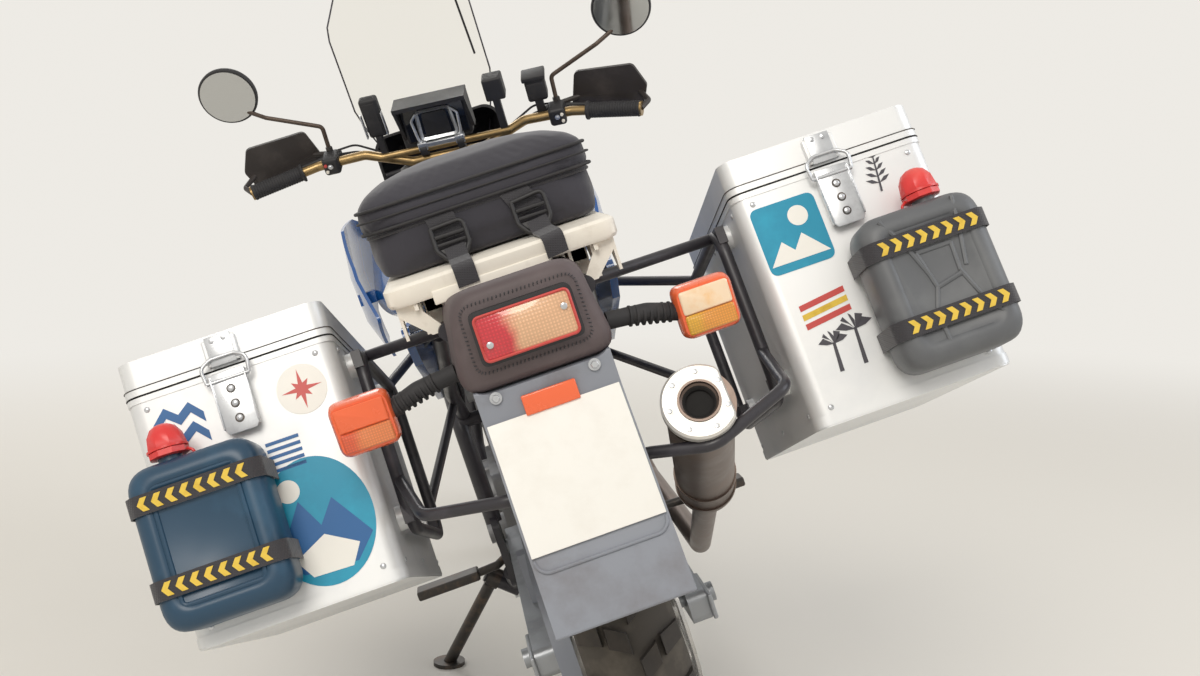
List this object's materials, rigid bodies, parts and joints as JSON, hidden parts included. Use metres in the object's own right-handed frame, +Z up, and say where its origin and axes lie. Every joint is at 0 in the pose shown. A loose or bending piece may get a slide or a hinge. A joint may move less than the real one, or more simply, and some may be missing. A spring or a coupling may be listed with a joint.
{
  "type": "adventure motorcycle",
  "caption": "Adventure motorcycle leaning on its side stand, with metal panniers, small jerrycans, a tail bag, spoked wheels and a tall screen.",
  "frame": {"origin": "on the floor, under the middle of the leaning machine's bounding box", "axes": "+Y the way the machine points, +X to its right, +Z up; the machine leans to its left by 18.2 degrees"},
  "size_m": [1.327, 2.3671, 1.4962],
  "materials": {
    "black_tube": "satin powder coat",
    "grey_alloy": "cast, dull",
    "bare_aluminium": "rolled sheet, lightly scratched",
    "chain_steel": "oiled",
    "silver_paint": "satin",
    "grey_plastic": "moulded",
    "dark_steel": "dark satin",
    "pale_steel": "bead blasted",
    "blue_paint": "gloss",
    "black_vinyl": "grained vinyl",
    "lamp_glass": "clear",
    "clear_screen": "clear sheet",
    "dark_plastic": "moulded",
    "red_lens": "moulded lens",
    "amber_lens": "moulded lens",
    "pale_plate": "blank",
    "pale_casting": "cast, cream",
    "dark_fabric": "coated weave",
    "navy_plastic": "moulded",
    "tyre": "rubber",
    "gold_alloy": "anodised",
    "mirror_glass": "silvered"
  },
  "bodies": {
    "chassis": {"frame": "black_tube", "rear_subframe": "black_tube", "engine": "grey_alloy", "radiator": "black_tube", "skid_plate": "bare_aluminium", "chain": "chain_steel", "swingarm": "silver_paint", "shock_absorber": "black_tube", "chain_guard": "grey_plastic", "exhaust_header": "dark_steel", "silencer": "pale_steel", "fuel_tank": "blue_paint", "seat": "black_vinyl", "front_cowl": "blue_paint", "body_panels": "blue_paint", "headlight": "lamp_glass", "windscreen": "clear_screen", "instrument_dash": "dark_plastic", "tail_housing": "dark_plastic", "tail_lamp": "red_lens", "indicators": "amber_lens", "plate_carrier": "grey_plastic", "number_plate": "pale_plate", "rear_carrier": "pale_casting", "luggage_bag": "dark_fabric", "foot_pegs": "chain_steel", "pannier_racks": "black_tube", "left_pannier": "bare_aluminium", "left_jerrycan": "navy_plastic", "right_pannier": "bare_aluminium", "right_jerrycan": "dark_plastic"},
    "steering": {"front_fork": "gold_alloy", "handlebar": "gold_alloy", "hand_guards": "dark_plastic", "mirrors": "mirror_glass", "controls": "dark_plastic", "bar_navigator": "dark_plastic", "front_fender": "dark_plastic"},
    "front_wheel": {"front_rim": "dark_steel", "front_tyre": "tyre"},
    "rear_wheel": {"rear_rim": "dark_steel", "rear_tyre": "tyre"},
    "side_stand": {"side_stand": "black_tube"},
    "left_lid": {"left_lid": "bare_aluminium"},
    "right_lid": {"right_lid": "bare_aluminium"}
  },
  "joints": [
    {"name": "steering_pivot", "type": "hinge", "parent": "chassis", "child": "steering", "pos_m": [-0.08676, 0.41262, 0.9842], "axis": [-0.277, -0.4617, 0.8426], "range_deg": [-22.4, 47.6]},
    {"name": "front_wheel_spin", "type": "hinge", "parent": "steering", "child": "front_wheel", "pos_m": [0.14009, 0.83859, 0.33852], "axis": [0.9586, -0.1935, 0.2091], "continuous": true},
    {"name": "rear_wheel_spin", "type": "hinge", "parent": "chassis", "child": "rear_wheel", "pos_m": [0.13404, -0.72005, 0.31264], "axis": [0.95, 0, 0.3123], "continuous": true},
    {"name": "side_stand_swing", "type": "hinge", "parent": "chassis", "child": "side_stand", "pos_m": [-0.03018, -0.12405, 0.2038], "axis": [-0.9104, 0.0403, 0.4117], "range_deg": [0, 102.87]},
    {"name": "left_lid_hinge", "type": "hinge", "parent": "chassis", "child": "left_lid", "pos_m": [-0.2296, -0.44107, 0.64705], "axis": [-0.95, 0, -0.3123], "range_deg": [0, 95]},
    {"name": "right_lid_hinge", "type": "hinge", "parent": "chassis", "child": "right_lid", "pos_m": [0.30428, -0.44107, 0.82259], "axis": [-0.95, 0, -0.3123], "range_deg": [0, 95]}
  ]
}
